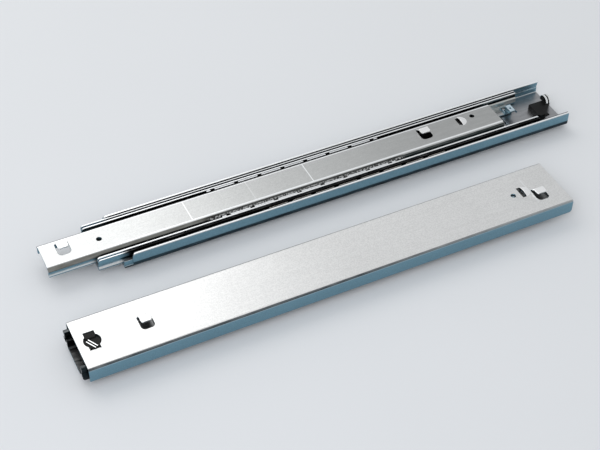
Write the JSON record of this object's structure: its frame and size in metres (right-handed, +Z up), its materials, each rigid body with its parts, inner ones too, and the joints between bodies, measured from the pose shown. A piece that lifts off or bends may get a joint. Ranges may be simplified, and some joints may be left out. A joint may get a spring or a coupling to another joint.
{
  "type": "telescopic server rail pair",
  "caption": "Left and right telescopic ball-bearing rails for rack equipment, with hook-in webs; each rail's middle and inner members slide out on caged balls.",
  "frame": {"origin": "middle of the pair on the surface that it lies on", "axes": "+X along the rails, from the left rail's rear end to its front end, +Y from the left rail to the right rail, +Z up from the surface"},
  "size_m": [0.593, 0.183, 0.0283],
  "materials": {
    "zinc_plated_steel": "satin zinc plating on cold-rolled steel strip",
    "cage_steel": "zinc-plated pressed strip",
    "bright_rivet_steel": "bright zinc-plated rivet",
    "spring_steel": "polished spring strip",
    "ball_steel": "ground and polished bearing steel",
    "catch_elastomer": "moulded black elastomer"
  },
  "bodies": {
    "rack_members": {"left_outer_member": "zinc_plated_steel", "left_catch_body": "catch_elastomer", "left_catch_clip": "spring_steel", "right_outer_member": "zinc_plated_steel", "right_catch_body": "catch_elastomer", "right_catch_clip": "spring_steel"},
    "left_middle": {"left_middle_member": "zinc_plated_steel", "left_striker": "zinc_plated_steel", "left_striker_rivets": "bright_rivet_steel"},
    "left_inner": {"left_inner_member": "zinc_plated_steel"},
    "left_outer_cages": {"left_outer_cage_upper": "cage_steel", "left_outer_cage_lower": "cage_steel", "left_outer_balls_upper": "ball_steel", "left_outer_balls_lower": "ball_steel"},
    "left_inner_cages": {"left_inner_cage_upper": "cage_steel", "left_inner_cage_lower": "cage_steel", "left_inner_balls_upper": "ball_steel", "left_inner_balls_lower": "ball_steel"},
    "right_middle": {"right_middle_member": "zinc_plated_steel", "right_striker": "zinc_plated_steel", "right_striker_rivets": "bright_rivet_steel"},
    "right_inner": {"right_inner_member": "zinc_plated_steel"},
    "right_outer_cages": {"right_outer_cage_upper": "cage_steel", "right_outer_cage_lower": "cage_steel", "right_outer_balls_upper": "ball_steel", "right_outer_balls_lower": "ball_steel"},
    "right_inner_cages": {"right_inner_cage_upper": "cage_steel", "right_inner_cage_lower": "cage_steel", "right_inner_balls_upper": "ball_steel", "right_inner_balls_lower": "ball_steel"}
  },
  "joints": [
    {"name": "left_middle_slide", "type": "slide", "parent": "rack_members", "child": "left_middle", "axis": [1, 0, 0], "range_m": [0, 0.254]},
    {"name": "left_inner_slide", "type": "slide", "parent": "left_middle", "child": "left_inner", "axis": [1, 0, 0], "range_m": [0, 0.254]},
    {"name": "left_outer_cage_slide", "type": "slide", "parent": "rack_members", "child": "left_outer_cages", "axis": [1, 0, 0], "range_m": [0, 0.127]},
    {"name": "left_inner_cage_slide", "type": "slide", "parent": "left_middle", "child": "left_inner_cages", "axis": [1, 0, 0], "range_m": [0, 0.127]},
    {"name": "right_middle_slide", "type": "slide", "parent": "rack_members", "child": "right_middle", "axis": [-1, 0, 0], "range_m": [-0.038, 0.216]},
    {"name": "right_inner_slide", "type": "slide", "parent": "right_middle", "child": "right_inner", "axis": [-1, 0, 0], "range_m": [-0.041, 0.213]},
    {"name": "right_outer_cage_slide", "type": "slide", "parent": "rack_members", "child": "right_outer_cages", "axis": [-1, 0, 0], "range_m": [-0.019, 0.108]},
    {"name": "right_inner_cage_slide", "type": "slide", "parent": "right_middle", "child": "right_inner_cages", "axis": [-1, 0, 0], "range_m": [-0.0205, 0.1065]}
  ],
  "couplings": [
    {"joint": "left_outer_cage_slide", "follows": "left_middle_slide", "ratio": 0.5},
    {"joint": "left_inner_cage_slide", "follows": "left_inner_slide", "ratio": 0.5},
    {"joint": "right_outer_cage_slide", "follows": "right_middle_slide", "ratio": 0.5},
    {"joint": "right_inner_cage_slide", "follows": "right_inner_slide", "ratio": 0.5}
  ]
}
